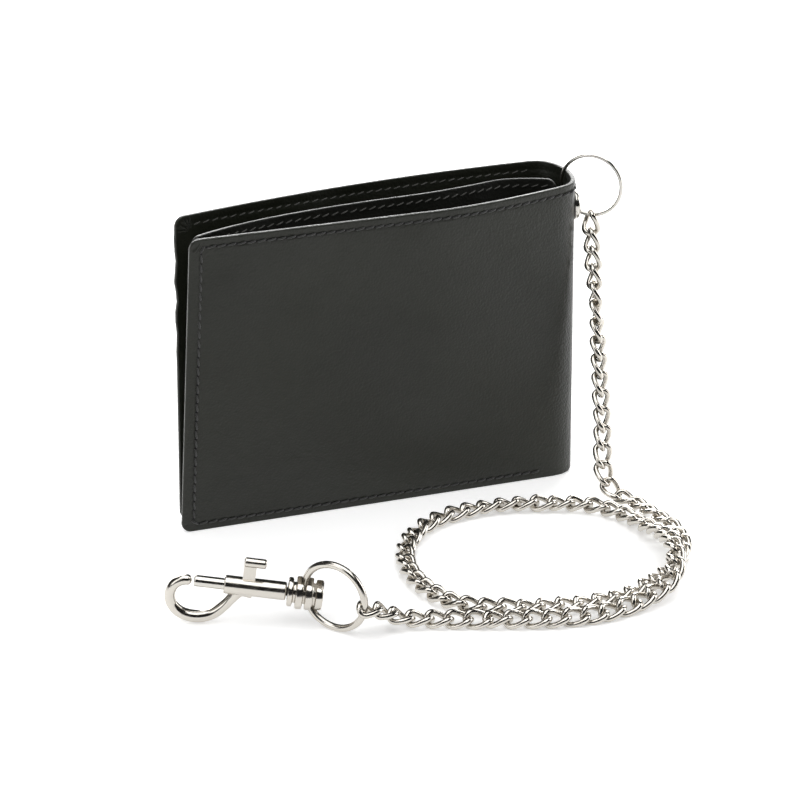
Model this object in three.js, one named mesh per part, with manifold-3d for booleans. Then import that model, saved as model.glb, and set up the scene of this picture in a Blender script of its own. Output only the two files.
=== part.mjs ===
// Chain wallet: a leather bifold wallet standing half open at the top, with an eyelet and a
// ring through its spine, a curb chain, a second ring and a swivelling bolt snap.
//
// Millimetres, +Z up. The wallet stands on its bottom edge, its width along X with the spine at
// +X, and its back cover at +Y. The origin is the bottom centre of the wallet with its hardware
// left out. Leather covers are given by the curves of their outer faces: each curve is a
// function of x and of h, the share of the wallet's height, so the covers lean and bow apart
// towards the top.
import * as THREE from 'three';
import * as BufferGeometryUtils from 'three/addons/utils/BufferGeometryUtils.js';
import Module from 'manifold-3d';

const wasm = await Module();
wasm.setup();

// ---------------------------------------------------------------- driving dimensions
const HEIGHT = 86.5;          // covers, bottom edge to top edge
const LEFT = -57.5;           // front cover's free edge at the bottom
const FRONT_LEAN_IN = 4.0;    // how far that edge draws in by the top
const BACK_LEFT = -56.0;      // back cover's free edge at the bottom
const BACK_LEAN_IN = 3.0;
const SPINE_X = 53.5;         // where the covers meet the spine's curve
const COVER_END = 50.5;       // the solid covers stop here, short of the leather that bends
const CORNER = 3.0;           // corner radius of the covers
const SHELL = 1.2;            // outer leather
const PANEL = 1.0;            // inner panels
const POCKET = 0.45;          // card pockets
const GAP = 0.3;              // between solids that touch
const BACK_PANEL_TOP = 77;    // the back cover's inner panel, lower than the covers

const FRONT_BOW = 4.5;        // front cover's lean forward at the top
const BACK_SPINE_Y = 13.0;    // back cover's outer face at the bottom, by the spine
const BACK_LEFT_Y = 8.5;      // and at its free edge
const BACK_TOP_Y = 26.3;      // and at the top, where it bows furthest
const BACK_TOP_DROP = 11.5;   // how much less that is at the free edge
const SPINE_DEPTH = [5.8, 6.9];   // how far the spine's curve stands out: bottom, top
const BILL_GAPE = 16.2;       // how far the bill pocket stands open at the top

const EYELET = { z: 77.75, y: 11.2, hole: 2.9, barrel: 3.15, flange: 4.3 };
const RING = { r: 8.6, wire: 0.45, yaw: -38, reach: 5.1, z: 83.9 };

const CHAIN_R = 2.5;          // half the width of the chain, as a plain round cord
const CHAIN_ROUTE = [         // its centreline, from the wallet ring to the snap ring
  [64.0, 6.6, 71.4], [62.4, -2.9, 47], [60.7, -12.8, 22], [59.5, -18.9, 7.6],
  [61.8, -21.9, 3.2], [64.8, -26.5, 2.6], [67.4, -34.5, 2.6], [69.0, -44.5, 2.6],
  [67.0, -54.2, 2.6], [61.9, -61.8, 2.6], [54.7, -68.2, 2.6], [46.2, -73.0, 2.6],
  [36.1, -75.2, 2.6], [22.0, -74.2, 2.6], [9.4, -70.6, 2.6], [1.6, -66.8, 2.6],
  [-3.6, -60.7, 2.6], [-6.5, -52.0, 2.6], [-6.8, -42.5, 2.6], [-4.2, -32.8, 2.6],
  [1.5, -24.4, 2.6], [10.5, -18.2, 2.6], [27.0, -15.7, 2.6], [44.5, -20.0, 2.6],
  [53.5, -24.4, 2.6], [59.4, -31.5, 2.6], [62.2, -42.0, 3.4], [62.6, -51.5, 5.6],
  [61.2, -60.5, 7.9], [58.6, -68.6, 8.0], [54.2, -74.8, 5.6], [46.0, -78.8, 3.2],
  [34.0, -81.5, 2.6], [22.0, -80.8, 2.6], [11.0, -77.8, 2.6], [-9.0, -71.0, 2.6],
  [-17.0, -68.9, 3.4], [-22.6, -69.4, 6.4], [-25.8, -70.4, 8.6],
];
const CHAIN_LANDS = 76;       // distance along it at which it reaches the floor

const SNAP_RING = { x: -33.9, y: -64.3, r: 8.75, wire: 0.92, yaw: -48.5 };
const SNAP = {
  x: -39.6, y: -57.8, z: 8.1,   // where the hook's axis crosses the snap ring
  yaw: -18.2, pitch: 8.0,       // the hook points back along this heading and rises
  barrelR: 2.4, barrel: [-21.0, -5.1], bore: 1.85,
  boltR: 1.5, bolt: [-29.4, -13.2], travel: 6.0,
  stemHalf: 1.7, stemX: -14.9, stemThick: 1.3, knobY: 7.0, knobR: 1.15, knob: [-17.4, -11.2],
  wire: 1.35,
};

// ---------------------------------------------------------------- the covers' curves
const lerp = (a, b, t) => a + (b - a) * t;
const clamp = (v, lo, hi) => Math.min(hi, Math.max(lo, v));

function frontFace(x, h) {
  const bend = clamp((x - 15) / (SPINE_X - 15), 0, 1) ** 1.6;
  return -FRONT_BOW * h + 7.0 * h * bend;
}

function backFace(x, h) {
  const across = (SPINE_X - x) / (SPINE_X - LEFT);
  const bottom = lerp(BACK_SPINE_Y, BACK_LEFT_Y, across);
  const top = BACK_TOP_Y - BACK_TOP_DROP * ((45 - Math.min(x, 45)) / 96) ** 2;
  return lerp(bottom, top, h);
}

// The inner front panel stands away from the front cover: the open bill pocket.
function billGape(x, h) {
  const rise = BILL_GAPE * (1 - Math.exp(-(x - LEFT - 1) / 26));
  const ease = x > 38 ? 9.1 * ((x - 38) / 17) ** 1.6 : 0;
  return Math.max(0, rise - ease) * h;
}

const innerFront = (x, h) => frontFace(x, h) + SHELL + GAP + billGape(x, h);
const innerBack = (x, h) => backFace(x, h) - SHELL - GAP - PANEL;

// ---------------------------------------------------------------- solids
const wallet = new THREE.Group();
const centred = new THREE.Group();
wallet.add(centred);

const leather = new THREE.MeshStandardMaterial({ color: 0x2b2c29, roughness: 0.45 });
const lining = new THREE.MeshStandardMaterial({ color: 0x1b1c1a, roughness: 0.6 });
const nickel = new THREE.MeshStandardMaterial({ color: 0xb9b4a8, roughness: 0.2, metalness: 1 });

function add(name, geometry, material, place) {
  const mesh = new THREE.Mesh(geometry, material);
  mesh.name = name;
  if (place) {
    place(mesh);
  }
  centred.add(mesh);
  return mesh;
}

function toManifold(geometry) {
  const bare = geometry.clone();
  bare.deleteAttribute('normal');
  bare.deleteAttribute('uv');
  const g = BufferGeometryUtils.mergeVertices(bare, 1e-5);
  return new wasm.Manifold(new wasm.Mesh({
    numProp: 3,
    vertProperties: new Float32Array(g.attributes.position.array),
    triVerts: new Uint32Array(g.index.array),
  }));
}

function fromManifold(solid) {
  const m = solid.getMesh();
  const g = new THREE.BufferGeometry();
  const xyz = new Float32Array(m.numVert * 3);
  for (let i = 0; i < m.numVert; i += 1) {
    for (let k = 0; k < 3; k += 1) {
      xyz[i * 3 + k] = m.vertProperties[i * m.numProp + k];
    }
  }
  g.setAttribute('position', new THREE.BufferAttribute(xyz, 3));
  g.setIndex(new THREE.BufferAttribute(new Uint32Array(m.triVerts), 1));
  g.computeVertexNormals();
  return g;
}

// How far a rounded corner of radius r draws an edge in, at a distance d from the end.
function cornerIn(d, r) {
  return d < r ? r - Math.sqrt(Math.max(0, r * r - (r - d) ** 2)) : 0;
}

// A sheet of leather between x limits and z limits: face gives y of its +Y or -Y side, and
// the sheet lies from there by thick towards +Y. The free edge has rounded corners.
function sheet({ left, leanIn, right, bottom, top, face, thick, corner, nx = 22 }) {
  const levels = [0, 0.012, 0.045, 0.25, 0.5, 0.75, 0.955, 0.988, 1];
  const geometry = new THREE.BoxGeometry(1, 1, 1, nx, 1, levels.length - 1);
  const p = geometry.attributes.position;
  for (let i = 0; i < p.count; i += 1) {
    const u = p.getX(i) + 0.5;
    const side = p.getY(i) + 0.5;
    const row = Math.round((p.getZ(i) + 0.5) * (levels.length - 1));
    const z = lerp(bottom, top, levels[row]);
    const h = z / HEIGHT;
    const ends = Math.max(cornerIn(z - bottom, corner), cornerIn(top - z, corner));
    const x = lerp(left + leanIn * h + ends, right, u);
    p.setXYZ(i, x, face(x, h) + side * thick, z);
  }
  return geometry;
}

// The spine's curve: half an ellipse from the front cover's face round to the back cover's.
function spineAt(angle, inset, z) {
  const h = z / HEIGHT;
  const low = frontFace(SPINE_X, h);
  const high = backFace(SPINE_X, h);
  const depth = lerp(SPINE_DEPTH[0], SPINE_DEPTH[1], h) - inset;
  const half = (high - low) / 2 - inset;
  return [SPINE_X + depth * Math.cos(angle), (low + high) / 2 + half * Math.sin(angle)];
}

function curvedWall(at, thick, from, to, bottom, top, steps, levels) {
  const geometry = new THREE.BoxGeometry(1, 1, 1, steps, 1, levels);
  const p = geometry.attributes.position;
  for (let i = 0; i < p.count; i += 1) {
    // the box's X runs from the back cover to the front, so that its faces still point out
    const angle = lerp(to, from, p.getX(i) + 0.5);
    const z = lerp(bottom, top, p.getZ(i) + 0.5);
    const [x, y] = at(angle, (0.5 - p.getY(i)) * thick, z);
    p.setXYZ(i, x, y, z);
  }
  return geometry;
}

const covers = { bottom: 0, top: HEIGHT, corner: CORNER, right: COVER_END };

add('outer_shell_front', sheet({
  ...covers, left: LEFT, leanIn: FRONT_LEAN_IN, thick: SHELL, face: frontFace,
}), leather);
add('outer_shell_back', sheet({
  ...covers, left: BACK_LEFT, leanIn: BACK_LEAN_IN, thick: SHELL,
  face: (x, h) => backFace(x, h) - SHELL,
}), leather);

const panels = { bottom: 0.4, top: HEIGHT - 1.6, corner: CORNER, right: 49.0 };
add('inner_panel_front', sheet({
  ...panels, left: LEFT + 0.5, leanIn: FRONT_LEAN_IN, thick: PANEL, face: innerFront,
}), lining);
add('inner_panel_back', sheet({
  ...panels, left: BACK_LEFT + 2.0, leanIn: BACK_LEAN_IN, top: BACK_PANEL_TOP, thick: PANEL,
  face: innerBack,
}), lining);

// Card pockets in the fold, each shorter than the one behind it.
const frontPockets = [74, 64, 54];
const backPockets = [73, 60];
frontPockets.forEach((top, k) => {
  add(`card_pocket_front_${k + 1}`, sheet({
    left: -50.5, leanIn: 0, right: 41, bottom: 2.5, top, corner: 1, thick: POCKET, nx: 20,
    face: (x, h) => innerFront(x, h) + PANEL + GAP + k * (POCKET + GAP),
  }), lining);
});
backPockets.forEach((top, k) => {
  add(`card_pocket_back_${k + 1}`, sheet({
    left: -49.5, leanIn: 0, right: 41, bottom: 2.5, top, corner: 1, thick: POCKET, nx: 20,
    face: (x, h) => innerBack(x, h) - (k + 1) * (POCKET + GAP),
  }), lining);
});

// Where the eyelet goes through the spine: its place on the curve and the way it faces.
function eyeletSeat() {
  const h = EYELET.z / HEIGHT;
  const low = frontFace(SPINE_X, h);
  const high = backFace(SPINE_X, h);
  const depth = lerp(SPINE_DEPTH[0], SPINE_DEPTH[1], h);
  const half = (high - low) / 2;
  const s = (EYELET.y - (low + high) / 2) / half;
  const c = Math.sqrt(1 - s * s);
  return {
    position: new THREE.Vector3(SPINE_X + depth * c, EYELET.y, EYELET.z),
    yaw: Math.atan2(s / half, c / depth),
  };
}
const seat = eyeletSeat();

const spineWall = toManifold(
  curvedWall(spineAt, SHELL, -1.4, 1.4, 0, HEIGHT, 16, 6),
);
const punch = new THREE.CylinderGeometry(3.5, 3.5, 8, 20);
punch.rotateZ(Math.PI / 2);
punch.rotateY(0);
punch.rotateZ(seat.yaw);
punch.translate(seat.position.x, seat.position.y, seat.position.z);
add('outer_shell_spine', fromManifold(spineWall.subtract(toManifold(punch))), leather);

// The inner panels' own fold, inside the spine.
function foldAt(angle, inset, z) {
  const h = z / HEIGHT;
  const low = innerFront(49.5, h);
  const high = innerBack(49.5, h) + PANEL;
  const half = (high - low) / 2 - inset;
  return [50.0 + (4.2 - inset) * Math.cos(angle), (low + high) / 2 + half * Math.sin(angle)];
}
add('inner_panel_fold', curvedWall(
  foldAt, PANEL, -1.45, 1.45, 0.4, BACK_PANEL_TOP, 12, 6,
), lining);

// ---------------------------------------------------------------- eyelet and wallet ring
const eyeletProfile = [
  [EYELET.hole, -1.5], [EYELET.barrel, -1.5], [EYELET.barrel, 0.3], [EYELET.flange, 0.3],
  [EYELET.flange - 0.25, 0.7], [EYELET.hole, 0.7], [EYELET.hole, -1.5],
].map(([r, y]) => new THREE.Vector2(r, y));
add('eyelet', new THREE.LatheGeometry(eyeletProfile, 24), nickel, (m) => {
  m.rotation.set(0, 0, seat.yaw - Math.PI / 2);
  m.position.copy(seat.position);
});

function ringIn(group, { r, wire, yaw }, centre, segments, sides) {
  group.geometry = new THREE.TorusGeometry(r, wire, sides, segments);
  group.rotation.set(Math.PI / 2, 0, 0);
  group.rotation.order = 'ZXY';
  group.rotation.set(Math.PI / 2, 0, THREE.MathUtils.degToRad(yaw));
  group.position.copy(centre);
}
const ringYaw = THREE.MathUtils.degToRad(RING.yaw);
const ringCentre = new THREE.Vector3(
  seat.position.x + RING.reach * Math.cos(ringYaw),
  seat.position.y + RING.reach * Math.sin(ringYaw),
  RING.z,
);
add('wallet_ring', undefined, nickel, (m) => ringIn(m, RING, ringCentre, 48, 8));

// ---------------------------------------------------------------- the chain as a plain cord
const route = new THREE.CatmullRomCurve3(
  CHAIN_ROUTE.map(([x, y, z]) => new THREE.Vector3(x, y, z)), false, 'centripetal',
);
route.arcLengthDivisions = 2000;

// The part of the route between two of its distances from the top end.
class Stretch extends THREE.Curve {
  constructor(from, to) {
    super();
    this.from = from / route.getLength();
    this.to = to / route.getLength();
  }

  getPoint(t, target = new THREE.Vector3()) {
    return route.getPointAt(clamp(lerp(this.from, this.to, t), 0, 1), target);
  }
}

function cord(from, to, steps) {
  const section = new THREE.Shape();
  for (let i = 0; i < 8; i += 1) {
    const a = (i + 0.5) * Math.PI / 4;
    const [x, y] = [CHAIN_R * Math.cos(a), CHAIN_R * Math.sin(a)];
    if (i === 0) {
      section.moveTo(x, y);
    } else {
      section.lineTo(x, y);
    }
  }
  section.closePath();
  return new THREE.ExtrudeGeometry(section, {
    steps, extrudePath: new Stretch(from, to), bevelEnabled: false, curveSegments: 1,
  });
}
add('chain_hanging', cord(0, CHAIN_LANDS, 12), nickel);
add('chain_floor', cord(CHAIN_LANDS + GAP, route.getLength(), 60), nickel);

// ---------------------------------------------------------------- snap ring
add('snap_ring', undefined, nickel, (m) => ringIn(
  m, SNAP_RING, new THREE.Vector3(SNAP_RING.x, SNAP_RING.y, SNAP_RING.r + SNAP_RING.wire), 40, 8,
));

// ---------------------------------------------------------------- bolt snap
// Its own frame: +X along the barrel towards the swivel, +Y up in the plane of the hook.
const snap = new THREE.Group();
snap.position.set(SNAP.x, SNAP.y, SNAP.z);
snap.rotation.order = 'ZYX';
snap.rotation.set(
  Math.PI / 2, THREE.MathUtils.degToRad(SNAP.pitch), THREE.MathUtils.degToRad(SNAP.yaw),
);
centred.add(snap);

function addToSnap(name, geometry) {
  const mesh = new THREE.Mesh(geometry, nickel);
  mesh.name = name;
  snap.add(mesh);
}

function rod(r, from, to, sides = 20) {
  const g = new THREE.CylinderGeometry(r, r, to - from, sides);
  g.rotateZ(Math.PI / 2);
  g.translate((from + to) / 2, 0, 0);
  return g;
}

function turned(profile, sides = 28) {
  const g = new THREE.LatheGeometry(profile.map(([x, r]) => new THREE.Vector2(r, x)), sides);
  g.rotateZ(-Math.PI / 2);
  return g;
}

// Swivel head: a stem held in the barrel, then four ribs, with a slot for the snap ring.
const head = turned([
  [-6.9, 0], [-6.9, 1.2], [-4.8, 1.2], [-4.8, 3.8], [-3.4, 3.8], [-3.4, 2.7], [-2.7, 2.7],
  [-2.7, 4.25], [-0.8, 4.25], [-0.8, 2.9], [-0.3, 2.9], [-0.3, 4.2], [1.7, 4.2], [1.7, 3.0],
  [2.4, 3.0], [2.4, 3.9], [4.3, 3.9], [4.3, 0],
]);
const slot = new THREE.BoxGeometry(6.3, 12, 4.4);
slot.translate(0.6, 0, 0);
addToSnap('swivel_head', fromManifold(toManifold(head).subtract(toManifold(slot))));

// Hook body: the barrel with its bore and thumb slot, and the hook that runs round from it.
const hookLine = new THREE.CatmullRomCurve3([
  [-16.6, -1.2], [-18.4, -3.8], [-20.4, -6.5], [-23.2, -9.1], [-27.0, -10.4], [-30.8, -9.7],
  [-33.5, -7.5], [-34.3, -4.5], [-33.3, -1.8], [-31.4, -0.3], [-29.8, 0.0],
].map(([x, y]) => new THREE.Vector3(x, y, 0)), false, 'centripetal');
const wireSection = new THREE.Shape();
wireSection.absarc(0, 0, SNAP.wire, 0, Math.PI * 2, false);
const hookWire = new THREE.ExtrudeGeometry(wireSection, {
  steps: 30, extrudePath: hookLine, bevelEnabled: false, curveSegments: 5,
});
const barrel = rod(SNAP.barrelR, SNAP.barrel[0], SNAP.barrel[1], 24);
const bore = rod(SNAP.bore, SNAP.barrel[0] - 1, SNAP.barrel[1] + 1, 20);
const slotFrom = SNAP.stemX - SNAP.stemHalf - GAP;
const slotTo = SNAP.stemX + SNAP.stemHalf + SNAP.travel + GAP;
const thumbSlot = new THREE.BoxGeometry(slotTo - slotFrom, 4, SNAP.stemThick + 2 * GAP);
thumbSlot.translate((slotFrom + slotTo) / 2, 2, 0);
addToSnap('hook_body', fromManifold(
  toManifold(barrel).add(toManifold(hookWire)).subtract(toManifold(bore))
    .subtract(toManifold(thumbSlot)),
));

// Bolt: the sliding pin, and the thumb piece fixed on it.
const pin = rod(SNAP.boltR, SNAP.bolt[0], SNAP.bolt[1]);
addToSnap('bolt', pin);

const stemFoot = SNAP.boltR + GAP;
const stem = new THREE.BoxGeometry(2 * SNAP.stemHalf, SNAP.knobY - stemFoot, SNAP.stemThick);
stem.translate(SNAP.stemX, (SNAP.knobY + stemFoot) / 2, 0);
const knob = rod(SNAP.knobR, SNAP.knob[0], SNAP.knob[1], 16);
knob.translate(0, SNAP.knobY, 0);
addToSnap('thumb_piece', fromManifold(toManifold(stem).add(toManifold(knob))));

// ---------------------------------------------------------------- origin
// The wallet's box, hardware left out, is centred on the origin in X and Y.
const box = new THREE.Box3();
for (const mesh of centred.children) {
  if (/^(outer|inner|card|eyelet)/.test(mesh.name)) {
    mesh.updateMatrix();
    mesh.geometry.computeBoundingBox();
    box.union(mesh.geometry.boundingBox.clone().applyMatrix4(mesh.matrix));
  }
}
centred.position.set(-(box.min.x + box.max.x) / 2, -(box.min.y + box.max.y) / 2, 0);

export default wallet;
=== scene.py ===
import math

import bpy
import numpy as np
from mathutils import Matrix, Vector

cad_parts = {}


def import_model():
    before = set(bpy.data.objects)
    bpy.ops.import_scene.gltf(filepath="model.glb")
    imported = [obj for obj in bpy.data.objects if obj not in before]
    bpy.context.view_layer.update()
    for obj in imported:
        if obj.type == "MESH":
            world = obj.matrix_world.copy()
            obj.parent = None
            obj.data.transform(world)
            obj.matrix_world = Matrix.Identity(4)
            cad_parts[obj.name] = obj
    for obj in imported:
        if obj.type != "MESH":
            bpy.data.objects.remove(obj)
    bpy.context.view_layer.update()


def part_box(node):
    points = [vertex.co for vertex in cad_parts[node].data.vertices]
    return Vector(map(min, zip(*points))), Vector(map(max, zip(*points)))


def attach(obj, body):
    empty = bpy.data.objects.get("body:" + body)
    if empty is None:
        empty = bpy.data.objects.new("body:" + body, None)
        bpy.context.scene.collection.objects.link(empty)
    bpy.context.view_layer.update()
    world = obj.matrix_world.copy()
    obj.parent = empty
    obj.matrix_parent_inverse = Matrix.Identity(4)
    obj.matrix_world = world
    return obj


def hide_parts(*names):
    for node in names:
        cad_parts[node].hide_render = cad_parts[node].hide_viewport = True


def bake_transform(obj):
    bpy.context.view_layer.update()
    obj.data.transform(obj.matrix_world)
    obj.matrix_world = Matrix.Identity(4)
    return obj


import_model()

# Everything below is worked out in the wallet's own millimetres, with the spine at +X and the
# back cover at +Y, and put into the frame's metres by `world`.
MM = 0.001
HEIGHT = 86.5          # covers, bottom edge to top edge
LEFT = -57.5           # front cover's free edge at the bottom
FRONT_LEAN_IN = 4.0    # how far that edge draws in by the top
BACK_LEFT = -56.0      # back cover's free edge at the bottom
BACK_LEAN_IN = 3.0     # how far that edge draws in by the top
SPINE_X = 53.5         # where the covers meet the spine's curve
SPINE_DEPTH = (5.8, 6.9)   # how far the spine's curve stands out: bottom, top
CORNER = 2.8           # corner radius of the covers and inner panels
SHELL = 1.3            # outer leather with its lining
PANEL = 1.1            # inner panels
POCKET = 0.5           # card pockets
SHEET_GAP = 0.2        # between one sheet and the next

FRONT_BOW = 4.5        # front cover's lean forward at the top
SPINE_PULL = 7.0       # how far back its top comes again, by the spine
PULL_FROM = 15.0       # where across the cover that starts
BACK_SPINE_Y = 13.0    # back cover's outer face at the bottom, by the spine
BACK_LEFT_Y = 8.5      # and at its free edge
BACK_TOP_Y = 26.3      # and at the top, where it bows furthest
BACK_TOP_DROP = 11.5   # how much less that is at the free edge
BOW_X = 45.0           # where across the cover it bows furthest
BOW_REACH = 96.0       # how far from there the whole drop is reached
BILL_GAPE = 16.2       # how far the bill pocket stands open at the top
GAPE_EASE = 26.0       # how quickly it opens, away from its free edge
CLOSE_FROM = 38.0      # where it starts to close again, towards the spine
CLOSE_OVER = 17.0      # how far on from there it has closed by CLOSE_BY
CLOSE_BY = 9.1
BACK_PANEL_TOP = 77.0  # top of the back cover's inner panel, lower than the covers
PANEL_FOOT = 0.4       # how far the inner panels end above the floor
FOLD_X = 49.5          # where the inner panels turn into their own fold

STITCH = 2.7           # from one stitch to the next
SEAM_IN = 2.3          # from the top and bottom edges to their stitches
SEAM_SIDE = 3.2        # from a free edge to its stitches
SEAM_DEEP = 0.17       # how far a seam pulls its face in
SEAM_BROAD = 0.5       # how far to each side of it that fades
SEAM_STARTS = 0.5      # how far from the other edge a seam's pull starts
BOTTOM_SEAM_SHORT = 14.5   # how far short of the spine's middle the bottom stitches end
BOTTOM_PULL_SHORT = 12.0   # and their pull on the face
BOTTOM_PULL_FADE = 6.0     # over how much more length that pull fades

shell_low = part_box("outer_shell_front")[0]
ORIGIN = Vector((shell_low.x - LEFT * MM, shell_low.y + FRONT_BOW * MM, shell_low.z))


def world(p):
    """A point in the wallet's millimetres, in the frame's metres."""
    return ORIGIN + Vector((p[0], p[1], p[2])) * MM


def lerp(a, b, t):
    return a + (b - a) * t


# ---------------------------------------------------------------- camera
CAMERA_TURN = math.radians(18.87)
CAMERA_RISE = math.radians(24.5)
CAMERA_AWAY = 716.3
CAMERA_AIM = (5.46, 0.0, 30.75)

camera = bpy.data.objects.new("camera", bpy.data.cameras.new("camera"))
bpy.context.collection.objects.link(camera)
away = Vector((
    -math.sin(CAMERA_TURN) * math.cos(CAMERA_RISE),
    -math.cos(CAMERA_TURN) * math.cos(CAMERA_RISE),
    math.sin(CAMERA_RISE),
))
camera.location = world(CAMERA_AIM) + away * CAMERA_AWAY * MM
camera.rotation_mode = "QUATERNION"
camera.rotation_quaternion = (-away).to_track_quat("-Z", "Y")
camera.data.lens = 117.0
camera.data.sensor_width = 36.0
camera.data.clip_start = 0.01
camera.data.clip_end = 20.0
bpy.context.scene.camera = camera


# ---------------------------------------------------------------- materials
def material(name, color, roughness, metallic=0.0, **more):
    """A plain finish; more names further sockets of its shader, with _ for each space."""
    m = bpy.data.materials.new(name)
    m.use_nodes = True
    shader = m.node_tree.nodes["Principled BSDF"]
    shader.inputs["Base Color"].default_value = (*color, 1.0)
    shader.inputs["Roughness"].default_value = roughness
    shader.inputs["Metallic"].default_value = metallic
    for key, value in more.items():
        shader.inputs[key.replace("_", " ")].default_value = value
    return m


def coordinate(m):
    """The object's own coordinates, from one node that a material's textures share."""
    nodes = m.node_tree.nodes
    source = nodes.get("coordinate") or nodes.new("ShaderNodeTexCoord")
    source.name = "coordinate"
    return source.outputs["Object"]


def noise(m, scale, detail=2.0, roughness=0.5, distortion=0.0):
    """Noise over the object's own coordinates, its factor as a socket."""
    n = m.node_tree.nodes.new("ShaderNodeTexNoise")
    n.inputs["Scale"].default_value = scale
    n.inputs["Detail"].default_value = detail
    n.inputs["Roughness"].default_value = roughness
    n.inputs["Distortion"].default_value = distortion
    m.node_tree.links.new(coordinate(m), n.inputs["Vector"])
    return n.outputs["Fac"]


def ramp(m, socket, low, high, start=0.0, end=1.0):
    """socket's values from start to end, turned into values from low to high."""
    r = m.node_tree.nodes.new("ShaderNodeMapRange")
    r.inputs["From Min"].default_value = start
    r.inputs["From Max"].default_value = end
    r.inputs["To Min"].default_value = low
    r.inputs["To Max"].default_value = high
    m.node_tree.links.new(socket, r.inputs["Value"])
    return r.outputs["Result"]


def bump(m, socket, distance, strength=1.0, below=None):
    """A bump from socket's values, on top of the bump below if there is one."""
    b = m.node_tree.nodes.new("ShaderNodeBump")
    b.inputs["Distance"].default_value = distance
    b.inputs["Strength"].default_value = strength
    m.node_tree.links.new(socket, b.inputs["Height"])
    if below is not None:
        m.node_tree.links.new(below, b.inputs["Normal"])
    return b.outputs["Normal"]


def plug(m, socket, name):
    """Links a socket into the material's shader."""
    shader = m.node_tree.nodes["Principled BSDF"]
    m.node_tree.links.new(socket, shader.inputs[name])


def mix_color(m, factor, low, high):
    """A colour between two, by a factor from 0 to 1."""
    n = m.node_tree.nodes.new("ShaderNodeMix")
    n.data_type = "RGBA"
    n.inputs["A"].default_value = (*low, 1.0)
    n.inputs["B"].default_value = (*high, 1.0)
    m.node_tree.links.new(factor, n.inputs["Factor"])
    return n.outputs["Result"]


def leather(name, dark, light, rough, rumple=1.0):
    """Smooth black leather: pebble grain, soft waves and creases, and faint blotches."""
    m = material(name, dark, rough, Specular_IOR_Level=0.37, Sheen_Weight=0.05)
    m.node_tree.nodes["Principled BSDF"].inputs["Sheen Roughness"].default_value = 0.4
    cells = m.node_tree.nodes.new("ShaderNodeTexVoronoi")
    cells.inputs["Scale"].default_value = 1500.0
    m.node_tree.links.new(coordinate(m), cells.inputs["Vector"])
    pebbles = bump(m, cells.outputs["Distance"], 0.00014, 0.7)
    waves = bump(m, noise(m, 70.0, 4.0), 0.0009, 0.35 * rumple, below=pebbles)
    creases = bump(m, noise(m, 420.0, 3.0, 0.6, 1.0), 0.00024, 0.45 * rumple, below=waves)
    plug(m, creases, "Normal")
    blotches = noise(m, 28.0, 4.0)
    plug(m, mix_color(m, ramp(m, blotches, 0.0, 1.0, 0.35, 0.68), dark, light), "Base Color")
    plug(m, ramp(m, noise(m, 60.0, 3.0), rough - 0.07, rough + 0.1, 0.3, 0.7), "Roughness")
    return m


OUTER = leather("outer_leather", (0.0072, 0.0084, 0.0045), (0.0115, 0.0130, 0.0078), 0.38)
INNER = leather("inner_leather", (0.0045, 0.005, 0.0032), (0.0075, 0.008, 0.0058), 0.42, 0.5)
THREAD = material("black_thread", (0.012, 0.012, 0.0115), 0.5, Sheen_Weight=0.2)
PALE_THREAD = material("pale_thread", (0.055, 0.055, 0.048), 0.6, Sheen_Weight=0.3)
# Painted shade: near-black dots that stand in for the shade inside the needle holes.
HOLE_SHADE = material("needle_hole_shade", (0.002, 0.002, 0.002), 0.9)


def metal(name, color, rough):
    """Nickel plate, a little uneven in its shine and its surface."""
    m = material(name, color, rough, 1.0)
    plug(m, ramp(m, noise(m, 320.0, 4.0), rough - 0.04, rough + 0.09, 0.35, 0.7), "Roughness")
    plug(m, bump(m, noise(m, 900.0, 2.0), 0.00002, 0.2), "Normal")
    return m


NICKEL = metal("nickel", (0.60, 0.57, 0.52), 0.16)
BRIGHT = metal("bright_nickel", (0.60, 0.58, 0.54), 0.13)


# ---------------------------------------------------------------- mesh helpers
def piece(name, points, faces, finish):
    """A smooth mesh from points in the wallet's millimetres."""
    mesh = bpy.data.meshes.new(name)
    mesh.from_pydata([world(p) for p in points], [], faces)
    mesh.validate()
    mesh.update()
    for polygon in mesh.polygons:
        polygon.use_smooth = True
    mesh.materials.append(finish)
    obj = bpy.data.objects.new(name, mesh)
    bpy.context.collection.objects.link(obj)
    return obj


class Soup:
    """Points and faces gathered from several parts of one piece."""

    def __init__(self):
        self.points = []
        self.faces = []

    def add(self, points, faces):
        base = len(self.points)
        self.points.extend(points)
        self.faces.extend(tuple(base + i for i in f) for f in faces)

    def grid(self, rows, closed_u=False, closed_v=False):
        """A grid of points, wrapped round along its rows (u) or from last row to first (v)."""
        n, m = len(rows), len(rows[0])
        faces = []
        for i in range(n if closed_v else n - 1):
            for j in range(m if closed_u else m - 1):
                k, q = (i + 1) % n, (j + 1) % m
                faces.append((i * m + j, i * m + q, k * m + q, k * m + j))
        self.add([p for row in rows for p in row], faces)

    def tube(self, line, radius, sides=12, closed=False, caps=True):
        """A round tube along points; radius is a number or a function of the share along it."""
        line = [Vector(p) for p in line]
        n = len(line)
        across = None
        rows = []
        for i, p in enumerate(line):
            before = line[i - 1] if i or closed else p
            after = line[(i + 1) % n] if i < n - 1 or closed else p
            along = (after - before).normalized()
            if across is None:
                across = along.orthogonal().normalized()
            # carried on from the ring of points before, so that the tube doesn't twist
            across = (across - along * across.dot(along)).normalized()
            up = along.cross(across)
            r = radius(i / (n - 1)) if callable(radius) else radius
            rows.append([
                p + (across * math.cos(a) + up * math.sin(a)) * r
                for a in (math.tau * k / sides for k in range(sides))
            ])
        self.grid(rows, closed_u=True, closed_v=closed)
        if caps and not closed:
            for row, turn in ((rows[0], -1), (rows[-1], 1)):
                self.add(row, [tuple(range(sides))[::turn]])

    def make(self, name, finish, slot):
        return piece(name, self.points, self.faces, finish)


SPLINE_STEPS = 24      # points worked out between one given point and the next


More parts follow.
